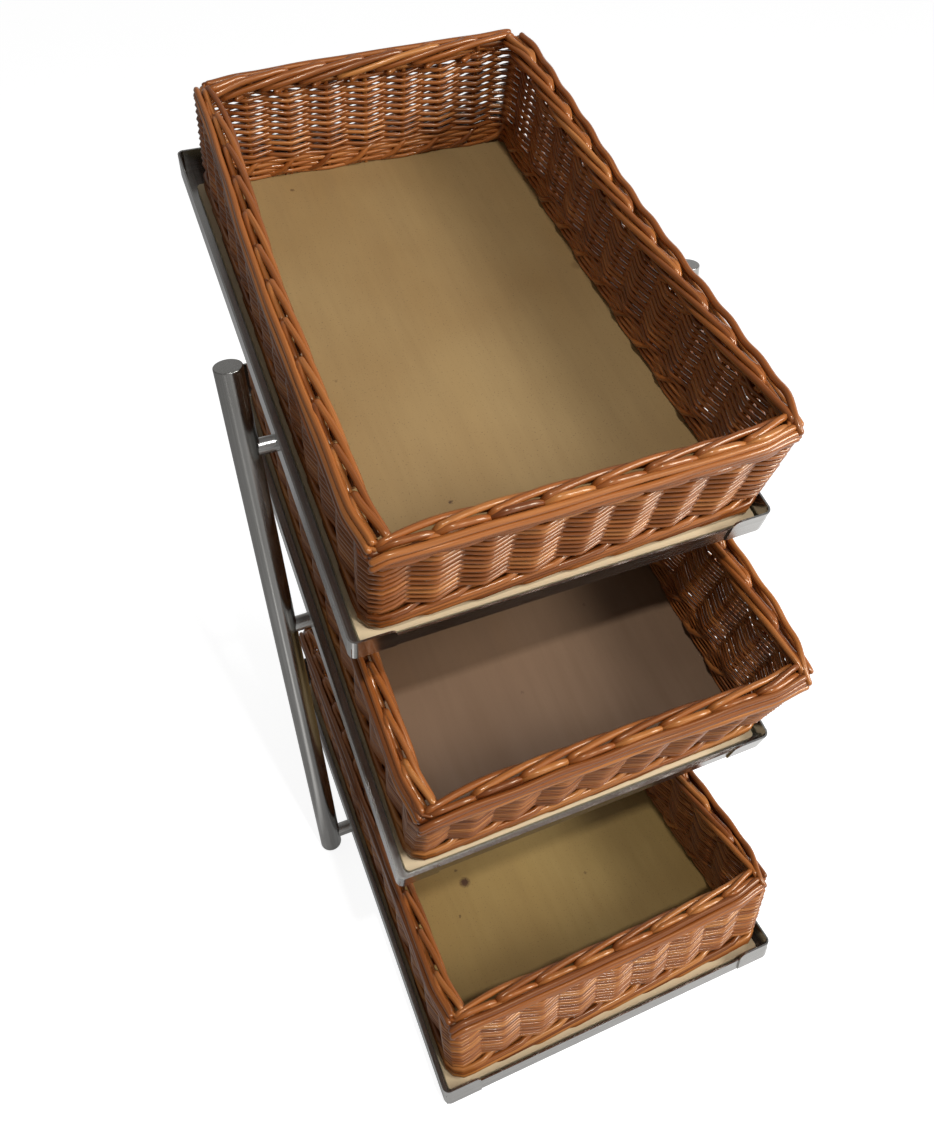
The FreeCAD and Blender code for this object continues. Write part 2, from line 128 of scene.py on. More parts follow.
# A stake's tip bent over on the inner half: bays run along the rim, outset, depth
TIP_ROUTE = np.array([
    (-0.07, -5.6, 13.0), (-0.03, -5.6, 7.4), (0.03, -5.7, 4.1), (0.14, -6.1, 3.0), (0.5, -8.4, 2.7),
    (1.0, -10.8, 3.4), (1.5, -12.2, 6.0), (2.0, -12.4, 9.5), (2.4, -11.0, 12.5), (2.7, -8.5, 15.0),
])
# The right side's uppermost long rod lies loose above the others: outset, depth at the stakes and between
# them. Its beginning curves inwards by so much, up to this bay and over this length.
LOOSE_LAY = (3.6, 4.2, 2.0)
LOOSE_CURVE, LOOSE_CURVE_END, LOOSE_CURVE_BAYS = 7.5, 0.8, 0.9
# Where a long rod begins if its start shows or is hidden, and how far the first and the others pass the side
SHOWN_START, HIDDEN_START = -0.16, 0.05
FIRST_PAST, OTHERS_PAST = -0.02, 0.06
# A long rod's start dips by so much, up to this bay and over this length, and lies higher over the first bay
DIP, DIP_END, DIP_BAYS = 4.0, 0.12, 0.36
START_LIFT = 1.5
# A border rod's end tucks inwards by so much, from this many bays before the corner and over this length
TUCK, TUCK_BEFORE, TUCK_BAYS = 4.5, 0.8, 0.9
# The core that the rods are laid round: outset and depth, where it begins and how far it passes the side
CORE_LAY = (-3.2, 10.5)
CORE_START, CORE_PAST = -0.1, 0.05
# A rod between a bent tip and the long rods, which ends under the next tip: bays, outset, depth
FILL_ROUTE = np.array([
    (-0.02, -3.6, 7.5), (0.12, -2.9, 3.9), (0.5, -3.1, 3.6), (0.8, -3.6, 5.4), (0.95, -4.0, 8.6),
    (1.02, -4.2, 11.0),
])
# On all sides but the front it sags by so much over this many bays
FILL_SAG, SAG_BAYS = 3.5, 0.6
# Tips and fill rods begin this far past their stake; a tip ends at this much past the side
TIP_AHEAD, TIP_PAST = 0.05, 0.02
# A short rod under the long ones, which dives behind a stake: bays before the stake, outset, depth
UNDER_ROUTE = np.array([
    (-0.15, -8.0, 20.2), (0.05, -3.5, 20.2), (0.3, 0.8, 20.0), (0.6, 2.6, 19.6), (1.0, 2.8, 18.4),
    (1.4, 0.8, 16.8), (1.7, -2.5, 16.0),
])
# It is moved along by so much, and kept between these places off the side's first and last corner
UNDER_AHEAD, UNDER_START, UNDER_PAST = 0.22, -0.1, 0.06

# The camera's place and aim in the frame, its turn about its own axis, and the photograph's size in pixels
CAMERA_PLACE = (-0.2431, -0.6402, 0.9461)
CAMERA_AIM = (-0.0045, 0.0, 0.4303)
CAMERA_ROLL = math.radians(-2.72)
PHOTO_WIDTH = 934
PHOTO_HEIGHT = 1122
FOCAL_PIXELS = 945.8
AXIS_PIXEL = (466.0, 479.7)
SENSOR = 36.0


def add_node(tree, kind, inputs=None, **settings):
    """A node with its settings; each input is a value or the output socket that feeds it."""
    made = tree.nodes.new(kind)
    for name, value in settings.items():
        setattr(made, name, value)
    for name, value in (inputs or {}).items():
        if isinstance(value, bpy.types.NodeSocket):
            tree.links.new(value, made.inputs[name])
        else:
            made.inputs[name].default_value = value
    return made


def mixed(tree, factor, first, second, blend="MIX"):
    """Colour between two colours or sockets."""
    made = add_node(tree, "ShaderNodeMix", data_type="RGBA", blend_type=blend,
                    inputs={0: factor, 6: first, 7: second})
    return made.outputs[2]


def spread(tree, value, low, high, to_low=0.0, to_high=1.0):
    """Value mapped from one span to another, held at the ends."""
    made = add_node(tree, "ShaderNodeMapRange", inputs={
        "Value": value, "From Min": low, "From Max": high, "To Min": to_low, "To Max": to_high})
    return made.outputs["Result"]


def computed(tree, operation, first, second=0.0):
    """Result of a Math node."""
    made = add_node(tree, "ShaderNodeMath", operation=operation, inputs={0: first, 1: second})
    return made.outputs["Value"]


def ramp(tree, value, *stops):
    """Colour ramp through (place, colour) stops."""
    made = add_node(tree, "ShaderNodeValToRGB", inputs={"Fac": value})
    elements = made.color_ramp.elements
    while len(elements) < len(stops):
        elements.new(1.0)
    for element, (place, colour) in zip(elements, stops):
        element.position = place
        element.color = (*colour, 1.0)
    return made.outputs["Color"]


def new_group(name, inputs, outputs):
    """Empty shader group with its sockets; returns the tree, its input node and its output node."""
    tree = bpy.data.node_groups.new(name, "ShaderNodeTree")
    for socket, kind, value in inputs:
        made = tree.interface.new_socket(socket, in_out="INPUT", socket_type=kind)
        made.default_value = value
    for socket, kind in outputs:
        tree.interface.new_socket(socket, in_out="OUTPUT", socket_type=kind)
    return tree, tree.nodes.new("NodeGroupInput"), tree.nodes.new("NodeGroupOutput")


def new_material(name):
    """Material with a Principled shader; returns it, its tree and the shader."""
    material = bpy.data.materials.new(name)
    material.use_nodes = True
    tree = material.node_tree
    return material, tree, tree.nodes["Principled BSDF"]


def streak_group():
    """Streaks drawn out along one axis, with blotches and fine specks."""
    tree, given, result = new_group(
        "streaks",
        [("Vector", "NodeSocketVector", (0, 0, 0)), ("Stretch", "NodeSocketVector", (1, 1, 1)),
         ("Blotch Scale", "NodeSocketFloat", 8.0), ("Speck Scale", "NodeSocketFloat", 900.0)],
        [("Streak", "NodeSocketFloat"), ("Blotch", "NodeSocketFloat"), ("Speck", "NodeSocketFloat")])
    drawn = add_node(tree, "ShaderNodeVectorMath", operation="MULTIPLY",
                     inputs={0: given.outputs["Vector"], 1: given.outputs["Stretch"]})
    streak = add_node(tree, "ShaderNodeTexNoise",
                      inputs={"Vector": drawn.outputs["Vector"], "Scale": 1.0,
                              "Detail": 4.0, "Roughness": 0.6})
    blotch = add_node(tree, "ShaderNodeTexNoise",
                      inputs={"Vector": given.outputs["Vector"], "Scale": given.outputs["Blotch Scale"],
                              "Detail": 3.0, "Roughness": 0.55})
    speck = add_node(tree, "ShaderNodeTexNoise",
                     inputs={"Vector": given.outputs["Vector"], "Scale": given.outputs["Speck Scale"],
                             "Detail": 1.0})
    tree.links.new(streak.outputs["Fac"], result.inputs["Streak"])
    tree.links.new(blotch.outputs["Fac"], result.inputs["Blotch"])
    tree.links.new(speck.outputs["Fac"], result.inputs["Speck"])
    return tree


STREAKS = streak_group()


def streaks(tree, vector, stretch, blotch_scale, speck_scale):
    """The streak group placed in a material."""
    return add_node(tree, "ShaderNodeGroup", node_tree=STREAKS, inputs={
        "Vector": vector, "Stretch": stretch,
        "Blotch Scale": blotch_scale, "Speck Scale": speck_scale}).outputs


def bump_normal(tree, height, strength, distance):
    """Normal from a Bump node."""
    return add_node(tree, "ShaderNodeBump", inputs={
        "Strength": strength, "Distance": distance, "Height": height}).outputs["Normal"]


def steel_material(name, along, front, shade=1.0):
    """Brushed stainless, its colours darkened by a shade factor as painted shade for the dark surroundings it
    mirrors: fine lines along one axis, along another on faces to the front, and soft smudges."""
    material, tree, shader = new_material(name)
    place = add_node(tree, "ShaderNodeTexCoord").outputs["Object"]
    normal = add_node(tree, "ShaderNodeNewGeometry").outputs["Normal"]
    forwards = add_node(tree, "ShaderNodeSeparateXYZ", inputs={"Vector": normal}).outputs["Y"]
    facing = computed(tree, "ABSOLUTE", forwards)
    to_front = spread(tree, facing, 0.6, 0.75)
    grain = streaks(tree, place, along, 7.0, 1500.0)
    other = streaks(tree, place, front, 7.0, 1500.0)
    streak = spread(tree, to_front, 0, 1, grain["Streak"], other["Streak"])
    # The shade factor darkens the steel's own colours: painted shade
    dim = [shade * part for part in (0.43, 0.42, 0.40)]
    bright = [shade * part for part in (0.56, 0.55, 0.53)]
    clean = ramp(tree, streak, (0.3, dim), (0.7, bright))
    smudge = (0.34 * shade, 0.32 * shade, 0.29 * shade, 1)
    smudged = mixed(tree, spread(tree, grain["Blotch"], 0.45, 0.75, 0.0, 0.35), clean, smudge)
    tree.links.new(smudged, shader.inputs["Base Color"])
    rough = computed(tree, "ADD", spread(tree, streak, 0.3, 0.7, 0.15, 0.22),
                     spread(tree, grain["Blotch"], 0.4, 0.75, 0.0, 0.1))
    tree.links.new(rough, shader.inputs["Roughness"])
    shader.inputs["Metallic"].default_value = 1.0
    return material


def rubber_material():
    """Dull black rubber with dust."""
    material, tree, shader = new_material("foot_rubber")
    place = add_node(tree, "ShaderNodeTexCoord").outputs["Object"]
    grain = streaks(tree, place, (60, 60, 60), 40.0, 1200.0)
    dusty = mixed(tree, spread(tree, grain["Blotch"], 0.4, 0.8, 0.0, 0.5),
                  (0.02, 0.02, 0.02, 1), (0.09, 0.085, 0.08, 1))
    tree.links.new(dusty, shader.inputs["Base Color"])
    tree.links.new(spread(tree, grain["Speck"], 0.3, 0.7, 0.7, 0.9), shader.inputs["Roughness"])
    tree.links.new(bump_normal(tree, grain["Speck"], 0.2, 0.3 * MM), shader.inputs["Normal"])
    return material


def plywood_material(level, axes, size, pale, deep, marks):
    """Sanded plywood in a basket's axes: soft grain and marks on the face, a cream ledge, and a cream edge
    with glue lines. The size is the board's without its ledge."""
    material, tree, shader = new_material(f"{level}_board_plywood")
    place = add_node(tree, "ShaderNodeMapping", vector_type="TEXTURE", inputs={
        "Vector": add_node(tree, "ShaderNodeTexCoord").outputs["Object"],
        "Location": axes.to_translation(), "Rotation": axes.to_euler()}).outputs["Vector"]
    part = add_node(tree, "ShaderNodeSeparateXYZ", inputs={"Vector": place}).outputs
    grain = streaks(tree, place, (70, 6, 70), 5.0, 700.0)
    face = mixed(tree, spread(tree, grain["Blotch"], 0.3, 0.7), deep, pale)
    face = mixed(tree, spread(tree, grain["Streak"], 0.4, 0.7, 0.0, 0.22), face,
                 (*[c * 0.75 for c in deep[:3]], 1))
    face = mixed(tree, spread(tree, grain["Speck"], 0.66, 0.72, 0.0, 0.5), face, (0.13, 0.08, 0.035, 1))
    for x, y, radius, depth in marks:
        away = add_node(tree, "ShaderNodeVectorMath", operation="DISTANCE", inputs={
            0: place, 1: (x * MM, y * MM, size[2])}).outputs["Value"]
        uneven = computed(tree, "ADD", away, spread(tree, grain["Speck"], 0.3, 0.7, -0.8 * MM, 0.8 * MM))
        face = mixed(tree, spread(tree, uneven, 0.6 * radius * MM, 1.3 * radius * MM, depth, 0.0), face,
                     (0.055, 0.018, 0.006, 1))
    layer = computed(tree, "PINGPONG", part["Z"], size[2] / 6)
    edge = mixed(tree, spread(tree, layer, 0.06 * MM, 0.28 * MM),
                 (0.30, 0.16, 0.06, 1), (0.80, 0.68, 0.43, 1))
    edge = mixed(tree, spread(tree, grain["Blotch"], 0.45, 0.75, 0.0, 0.5), edge, (0.60, 0.42, 0.20, 1))
    normal = add_node(tree, "ShaderNodeNewGeometry").outputs["Normal"]
    facing = add_node(tree, "ShaderNodeVectorMath", operation="DOT_PRODUCT", inputs={
        0: normal, 1: axes.col[2].to_3d()}).outputs["Value"]
    on_face = spread(tree, computed(tree, "ABSOLUTE", facing), 0.5, 0.8)
    past_x = computed(tree, "SUBTRACT", computed(tree, "ABSOLUTE", part["X"]), size[0] / 2)
    past_y = computed(tree, "SUBTRACT", computed(tree, "ABSOLUTE", part["Y"]), size[1] / 2)
    on_ledge = spread(tree, computed(tree, "MAXIMUM", past_x, past_y), -6 * MM, -4 * MM)
    face = mixed(tree, on_ledge, face, (0.66, 0.51, 0.31, 1))
    tree.links.new(mixed(tree, on_face, edge, face), shader.inputs["Base Color"])
    tree.links.new(spread(tree, grain["Streak"], 0.3, 0.7, 0.5, 0.68), shader.inputs["Roughness"])
    tree.links.new(bump_normal(tree, grain["Streak"], 0.15, 0.3 * MM), shader.inputs["Normal"])
    return material


def willow_material(name, dark, middle, light):
    """Boiled willow: each rod has a tone of its own, streaks along it and paler cut ends."""
    material, tree, shader = new_material(name)
    tone = add_node(tree, "ShaderNodeAttribute", attribute_name="tone").outputs["Fac"]
    cut = add_node(tree, "ShaderNodeAttribute", attribute_name="cut").outputs["Fac"]
    along = add_node(tree, "ShaderNodeAttribute", attribute_name="grain").outputs["Vector"]
    grain = streaks(tree, along, (14, 9, 9), 14.0, 90.0)
    rod = ramp(tree, tone, (0.0, dark), (0.5, middle), (1.0, light))
    shaded = mixed(tree, spread(tree, grain["Streak"], 0.35, 0.65, 0.0, 0.4), rod, (*dark, 1))
    worn = mixed(tree, spread(tree, grain["Blotch"], 0.55, 0.75, 0.0, 0.4), shaded, (*light, 1))
    tree.links.new(mixed(tree, cut, worn, (0.46, 0.26, 0.11, 1)), shader.inputs["Base Color"])
    tree.links.new(spread(tree, grain["Blotch"], 0.3, 0.7, 0.24, 0.36), shader.inputs["Roughness"])
    tree.links.new(bump_normal(tree, grain["Streak"], 0.25, 0.3 * MM), shader.inputs["Normal"])
    shader.inputs["Specular Tint"].default_value = (1.0, 0.78, 0.5, 1)
    shader.inputs["Coat Weight"].default_value = 0.35
    shader.inputs["Coat Roughness"].default_value = 0.16
    return material


class Outline:
    """Rounded rectangle along the middle of a woven wall. A place on it is counted in bays from the front
    left corner, over the front, right, back and left side; whole numbers are stakes."""

    SIDE_BAYS = np.array([BAYS_ACROSS, BAYS_ALONG, BAYS_ACROSS, BAYS_ALONG])
    SIDE_START = np.concatenate([[0], np.cumsum(SIDE_BAYS)])
    BAYS = int(SIDE_START[-1])
    AHEAD = np.array([(1, 0), (0, 1), (-1, 0), (0, -1)], float)
    CORNER = np.array([(-1, -1), (1, -1), (1, 1), (-1, 1)], float)

    def __init__(self, width, depth, radius):
        self.radius = radius
        self.inner = np.array([width / 2 - radius, depth / 2 - radius])
        self.arc = radius * math.pi / 2
        self.straight = 2 * self.inner[[0, 1, 0, 1]]

    def points(self, place, outset, height):
        """Points at places round the outline, moved out square to it."""
        place = np.mod(place, self.BAYS)
        side = np.searchsorted(self.SIDE_START, place, side="right") - 1
        share = (place - self.SIDE_START[side]) / self.SIDE_BAYS[side]
        run = share * (self.straight[side] + self.arc) - self.arc / 2
        turn = np.clip(run / self.arc, -0.5, 0) + np.clip((run - self.straight[side]) / self.arc, 0, 0.5)
        heading = (side + turn) * math.pi / 2
        square = np.column_stack([np.sin(heading), -np.cos(heading)])
        along = np.clip(run, 0, self.straight[side])
        base = self.CORNER[side] * self.inner + self.AHEAD[side] * along[:, None]
        flat = base + square * (self.radius + outset)[:, None]
        return np.column_stack([flat, height + 0 * along])

    def side_points(self, side, run, aside, outset, height):
        """Points along one side as a straight line, which may pass its corners: run counts bays from the
        side's first corner, and aside moves a point further along."""
        length = 2 * (self.inner + self.radius)[side % 2] / self.SIDE_BAYS[side]
        corner = self.CORNER[side] * (self.inner + self.radius)
        along = self.AHEAD[side] * (run * length + aside)[:, None]
        out = np.array(self.outwards(side)[:2]) * outset[:, None]
        return np.column_stack([corner + along + out, height])

    @classmethod
    def outwards(cls, side):
        """Direction square to a side."""
        return (cls.AHEAD[side][1], -cls.AHEAD[side][0], 0.0)


class Rods:
    """Rods gathered into one mesh, with each rod's tone, cut ends and grain kept as attributes."""

    ROUND_END = ((0.45, 0.89), (0.8, 0.6))
    CUT_END = ((0.12, 0.84),)

    def __init__(self):
        self.points, self.quads, self.fans, self.grain, self.tone, self.cut = [], [], [], [], [], []
        self.count = 0

    def add(self, line, diameter, tone, up=(0, 0, 1), closed=False, start=ROUND_END, end=ROUND_END):
        """A rod along a line of points; its diameter is one value or one for each point."""
        line = np.asarray(line, float)
        radius = np.broadcast_to(np.asarray(diameter, float) / 2, len(line))
        if closed:
            ahead = np.roll(line, -1, 0) - np.roll(line, 1, 0)
        else:
            ahead = np.gradient(line, axis=0)
        ahead = ahead / np.linalg.norm(ahead, axis=1)[:, None]
        cut = np.zeros(len(line))
        if not closed:
            line, radius, ahead, cut = self._with_ends(line, radius, ahead, cut, start, end)
        side = np.cross(ahead, up)
        side = side / np.linalg.norm(side, axis=1)[:, None]
        top = np.cross(side, ahead)
        angle = np.arange(ROD_SIDES) * 2 * math.pi / ROD_SIDES
        ring = side[:, None] * np.cos(angle)[None, :, None] + top[:, None] * np.sin(angle)[None, :, None]
        points = (line[:, None] + ring * radius[:, None, None]).reshape(-1, 3)
        steps = np.linalg.norm(np.diff(line, axis=0), axis=1)
        along = np.concatenate([[0], np.cumsum(steps)]) + tone * 7
        grain = np.empty((len(line), ROD_SIDES, 3))
        grain[:, :, 0] = along[:, None]
        grain[:, :, 1] = np.cos(angle) * 0.2
        grain[:, :, 2] = np.sin(angle) * 0.2
        self._join(points, grain.reshape(-1, 3), np.repeat(cut, ROD_SIDES), tone, len(line), closed)

    def _with_ends(self, line, radius, ahead, cut, start, end):
        """The rod's line with the rings that close its two ends."""
        pieces = []
        for first, shape in ((True, start), (False, end)):
            at, sign = (0, -1) if first else (-1, 1)
            advance = np.array([a for a, _ in shape] + [1.0 if shape is self.ROUND_END else shape[-1][0]])
            shrink = np.array([s for _, s in shape] + [0.02])
            if first:
                advance, shrink = advance[::-1], shrink[::-1]
            pale = np.full(len(advance), 1.0 if shape is self.CUT_END else 0.0)
            centre = line[at] + sign * ahead[at] * (advance * radius[at])[:, None]
            pieces.append((centre, shrink * radius[at], np.repeat(ahead[at][None], len(advance), 0), pale))
        before, after = pieces
        middle = (line, radius, ahead, cut)
        return tuple(np.concatenate([b, m, a]) for b, m, a in zip(before, middle, after))

    def _join(self, points, grain, cut, tone, rings, closed):
        """Adds the rings and the faces between them."""
        ring = np.arange(rings if closed else rings - 1)
        following = (ring + 1) % rings
        corner = np.arange(ROD_SIDES)
        beside = (corner + 1) % ROD_SIDES
        first = ring[:, None] * ROD_SIDES
        second = following[:, None] * ROD_SIDES
        quads = np.stack([first + corner, second + corner, second + beside, first + beside], axis=-1)
        self.quads.append(quads.reshape(-1, 4) + self.count)
        if not closed:
            last = (rings - 1) * ROD_SIDES
            self.fans.append((corner + self.count).tolist())
            self.fans.append((last + corner[::-1] + self.count).tolist())
        self.points.append(points)
        self.grain.append(grain)
        self.cut.append(cut)
        self.tone.append(np.full(len(points), tone))
        self.count += len(points)

    def build(self, name, axes, material, body):
        """One object from all rods, in a basket's axes, riding on its body."""
        faces = np.concatenate(self.quads).tolist() + self.fans
        mesh = bpy.data.meshes.new(name)
        mesh.from_pydata(np.concatenate(self.points).tolist(), [], faces)
        for attribute, values in (("tone", self.tone), ("cut", self.cut)):
            layer = mesh.attributes.new(attribute, "FLOAT", "POINT")
            layer.data.foreach_set("value", np.concatenate(values).astype(np.float32))
        layer = mesh.attributes.new("grain", "FLOAT_VECTOR", "POINT")
        layer.data.foreach_set("vector", np.concatenate(self.grain).astype(np.float32).ravel())
        mesh.shade_smooth()
        mesh.materials.append(material)
        made = bpy.data.objects.new(name, mesh)
        bpy.context.scene.collection.objects.link(made)
        made.matrix_world = axes
        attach(made, body)
        return made


def smooth_route(knots, values, places):
    """Values at places on a smooth curve through knots, with slopes from the neighbouring knots."""
    knots, values = np.asarray(knots, float), np.asarray(values, float)
    slopes = np.gradient(values, knots)
    span = np.clip(np.searchsorted(knots, places, side="right") - 1, 0, len(knots) - 2)
    width = knots[span + 1] - knots[span]
    share = (places - knots[span]) / width
    rise = share * share * (3 - 2 * share)
    into = share * (1 - share) ** 2
    out = share * share * (share - 1)
    return (values[span] * (1 - rise) + values[span + 1] * rise
            + width * (slopes[span] * into + slopes[span + 1] * out))


def eased(value):
    """Soft step from 0 to 1, held outside that span."""
    held = np.clip(value, 0, 1)
    return held * held * (3 - 2 * held)


class Basket:
    """One basket's measures, read from its nodes, and the rods woven to them."""

    def __init__(self, level, seed):
        self.level = level
        self.body = f"{level}_basket"
        self.dice = np.random.default_rng(seed)
        self.weaver, self.row_pitch = WEAVERS[level]
        lift = next(joint for joint in frame["joints"] if joint["child"] == self.body)
        up = Vector(lift["axis"]).normalized()
        right = Vector((1, 0, 0))
        turn = Matrix((right, up.cross(right), up)).transposed()
        low, high = self.local_box("wall", turn.to_4x4())
        under, over = (corner[2] for corner in self.local_box("board", turn.to_4x4()))
        middle = Vector(((low[0] + high[0]) / 2, (low[1] + high[1]) / 2, under))
        self.axes = Matrix.Translation(turn @ middle) @ turn.to_4x4()
        # Width and depth between the foot lines, and the board's thickness
        self.board = np.array([*(high - low)[:2] + 2 * WALL_INSET, over - under])
        self.rim = self.local_box("border", self.axes)[1][2]
        self.wale_top = self.local_box("wale", self.axes)[1][2]
        self.wall_middle = -(SWING + self.weaver / 2)
        width, depth = self.board[0] + 2 * self.wall_middle, self.board[1] + 2 * self.wall_middle
        self.wall_line = Outline(width, depth, WALL_CORNER)
        self.round = (np.arange(Outline.BAYS)[:, None] + BAY_STEPS).ravel()

    def local_box(self, piece, axes):
        """Lowest and highest corner of one of the basket's nodes in the given axes."""
        inverse = axes.inverted()
        node = frame["nodes"][f"{self.level}_basket_{piece}"]
        corners = np.array([inverse @ vertex.co for vertex in node.data.vertices])
        return corners.min(0), corners.max(0)

    def rim_shape(self, measures, places):
        """A rim measure at places, smooth through the values given at corners and side middles."""
        start = Outline.SIDE_START
        knots = np.sort(np.concatenate([start, (start[:-1] + start[1:]) / 2]))
        values = np.array([*measures, measures[0]]) * MM
        knots = np.concatenate([[knots[-2] - Outline.BAYS], knots, [knots[1] + Outline.BAYS]])
        values = np.concatenate([[values[-2]], values, [values[1]]])
        return smooth_route(knots, values, np.mod(places, Outline.BAYS))

    def lean(self, places, height):
        """Outset of the wall's outer face from the foot line at a height."""
        share = (height - self.board[2]) / (self.rim - self.board[2])
        foot = FOOT_OUTSET + self.rim_shape(FOOT_REACH, places)
        rim = TOP_OUTSET + self.rim_shape(RIM_FLARE[self.level], places)
        return foot + (rim - foot) * share

    def tone(self):
        """A rod's tone, mostly near the middle."""
        return float(np.clip(self.dice.normal(0.5, 0.2), 0, 1))

    def waver(self, places, size):
        """Slow uneven drift along a rod."""
        phases = self.dice.uniform(0, 2 * math.pi, 3)
        counts = self.dice.integers(5, 23, 3)
        waves = [np.sin(places / Outline.BAYS * 2 * math.pi * c + p) for c, p in zip(counts, phases)]
        return size * sum(waves) / len(waves)

    def stakes(self):
        """Upright rods, one for each place, thicker at the corners, and their stubs on the board."""
        rods = Rods()
        heights = np.linspace(self.board[2] - 2 * MM, self.rim - LINING_UNDER_RIM, 14)
        for place in range(Outline.BAYS):
            corner = place in Outline.SIDE_START
            drift = self.dice.normal(0, STAKE_DRIFT) * (not corner)
            places = np.full(len(heights), place + drift)
            line = self.wall_line.points(places, self.lean(places, heights), heights)
            rods.add(line, CORNER_POST if corner else STAKE, self.tone(), up=(1, 0.3, 0))
            if not corner:
                out = np.linspace(0, self.dice.uniform(*STUB_SHORT) * MM - self.wall_middle, 4)
                spot = np.full(4, place + STUB_ASIDE + drift)
                stub = self.wall_line.points(spot, out, np.full(4, self.board[2] + STUB / 4))
                rods.add(stub, STUB * self.dice.uniform(0.8, 1.1), 0.1, end=Rods.CUT_END)
        return rods.build(f"{self.level}_basket_stakes", self.axes, WILLOW, self.body)

    def weavers(self):
        """Thin rods that pass in front of one stake and behind the next, row on row. Behind the wale and
        under the border they lie flatter."""
        rods = Rods()
        places = self.round
        swung = np.arcsin(BEND * np.cos(math.pi * places)) / math.asin(BEND)
        first = self.board[2] + self.weaver / 2
        side = np.searchsorted(Outline.SIDE_START, places, side="right") - 1
        share = (places - Outline.SIDE_START[side]) / Outline.SIDE_BAYS[side]
        stretch = 1 + CORNER_SPREAD * np.cos(math.pi * share) ** 4
        lift = self.rim_shape(RIM_LIFT[self.level], places)
        for row, height in enumerate(np.arange(first, self.rim - LINING_UNDER_RIM, self.row_pitch)):
            lined = max(eased((height - self.rim + WEAVE_UNDER_RIM) / self.weaver),
                        eased((self.wale_top - height) / self.weaver))
            swing = SWING + (LINING_SWING - SWING) * lined
            outset = self.lean(places, height) - LINING_INSET * lined + swing * swung * (-1) ** row
            outset = outset + self.waver(places, ROW_DRIFT_OUT)
            level = first + (height - first) * (stretch + lift / (self.rim - first))
            level = level + self.waver(places, ROW_DRIFT_UP)
            line = self.wall_line.points(places, outset, level)
            rods.add(line, self.weaver * self.dice.uniform(0.93, 1.07), self.tone(), closed=True)
        made = rods.build(f"{self.level}_basket_weave", self.axes, WILLOW, self.body)
        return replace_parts(made, f"{self.level}_basket_wall")

    def wale(self):
        """Four thick rods over the board, each rising in front of three stakes and then behind one."""
        rods = Rods()
        places = self.round
        low = self.board[2] + WALE_ROD / 2
        climb = self.wale_top - WALE_ROD / 2 - low
        for rod in range(WALE_RODS):
            stroke = np.mod((places - WALE_ALONG + rod) / WALE_RODS + WALE_BEHIND, 1.0)
            top = WALE_BEHIND - WALE_REACH / 2
            height = low + climb * np.where(stroke < top, stroke / top, eased((1 - stroke) / (1 - top)))
            away = np.abs(stroke - WALE_BEHIND)
            away = np.minimum(away, 1 - away)
            swing = (SWING - WALE_LESS_SWING) * (2 * eased(away / WALE_REACH) - 1)
            outset = self.lean(places, height) + swing + self.waver(places, WALE_DRIFT)
            line = self.wall_line.points(places, outset, height)
            rods.add(line, WALE_ROD * self.dice.uniform(0.94, 1.06), self.tone(), closed=True)
        made = rods.build(f"{self.level}_basket_wale_rods", self.axes, WILLOW, self.body)
        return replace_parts(made, f"{self.level}_basket_wale")

    def border_rod(self, rods, side, run, outset, depth, thickness=BORDER_ROD, tone=None, up=(0, 0, 1),
                   end=Rods.ROUND_END):
        """One rod of the border along a side, from outsets off the foot line and depths under the rim. Its
        end tucks inside the next side's beginning."""
        bays = Outline.SIDE_BAYS[side]
        start = Outline.SIDE_START[side]
        flare = self.rim_shape(RIM_FLARE[self.level], start + np.clip(run, 0, bays - 0.001))
        lift = self.rim_shape(RIM_LIFT[self.level], start + np.clip(run, 0, bays - 0.001))
        corners = self.rim_shape(RIM_FLARE[self.level], np.array([start, start + bays], float))
        share = 2 * run / bays - 1
        aside = np.where(share < 0, corners[0], corners[1]) * share
        tuck = TUCK * eased((run - bays + TUCK_BEFORE) / TUCK_BAYS)
        outset = (outset - tuck + self.dice.normal(0, BORDER_OFFSET)) * MM - self.wall_middle + flare
        height = self.rim + lift - (depth + self.dice.normal(0, BORDER_OFFSET)) * MM
        line = self.wall_line.side_points(side, run, aside, outset, height)
        tone = self.tone() if tone is None else tone
        rods.add(line, thickness * self.dice.uniform(0.93, 1.06), tone, up=up, end=end)

    def border(self):
        """Long rods outside, short ones that dive behind the stakes, and the stakes' tips bent over."""
        rods = Rods()
        for side, bays in enumerate(Outline.SIDE_BAYS):
            for number, (begin, first, last) in enumerate(OUTER_RODS):
                shown = side == FRONT or (side == RIGHT and number == 0)
                start = begin * bays if begin else (SHOWN_START if shown else HIDDEN_START)
                run = np.linspace(start, bays + (OTHERS_PAST if number else FIRST_PAST), 10 * bays)
                step = first + (last - first) * np.clip((run / bays - begin) / (1 - begin), 0, 1)
                curl = DIP * eased((DIP_END - run) / DIP_BAYS) - START_LIFT * eased(1.0 - run)
                outset = smooth_route(OUTER_LAY[:, 0], OUTER_LAY[:, 1], step)
                depth = smooth_route(OUTER_LAY[:, 0], OUTER_LAY[:, 2], step)
                if side == RIGHT and number == 0:
                    low, high = LOOSE_LAY[1:]
                    outset = LOOSE_LAY[0] - LOOSE_CURVE * eased((LOOSE_CURVE_END - run) / LOOSE_CURVE_BAYS)
                    depth = low + (high - low) * np.sin(math.pi * run) ** 2 * (run > 0)
                outset = outset + self.waver(run, BORDER_DRIFT)
                depth = depth + curl + self.waver(run, BORDER_DRIFT)
                self.border_rod(rods, side, run, outset, depth)
            core = np.linspace(CORE_START, bays + CORE_PAST, 4 * bays)
            # The core gets the darkest tone, painted shade for the dark slits between the border rods
            self.border_rod(rods, side, core, *CORE_LAY, BORDER_CORE, 0.0)
            for stake in range(bays):
                bend = np.linspace(TIP_ROUTE[0, 0], 0.2, 9)
                gone = np.concatenate([bend, np.linspace(0.3, TIP_ROUTE[-1, 0], 20)])
                gone = gone[stake + gone < bays + TIP_PAST]
                outset = smooth_route(TIP_ROUTE[:, 0], TIP_ROUTE[:, 1], gone)
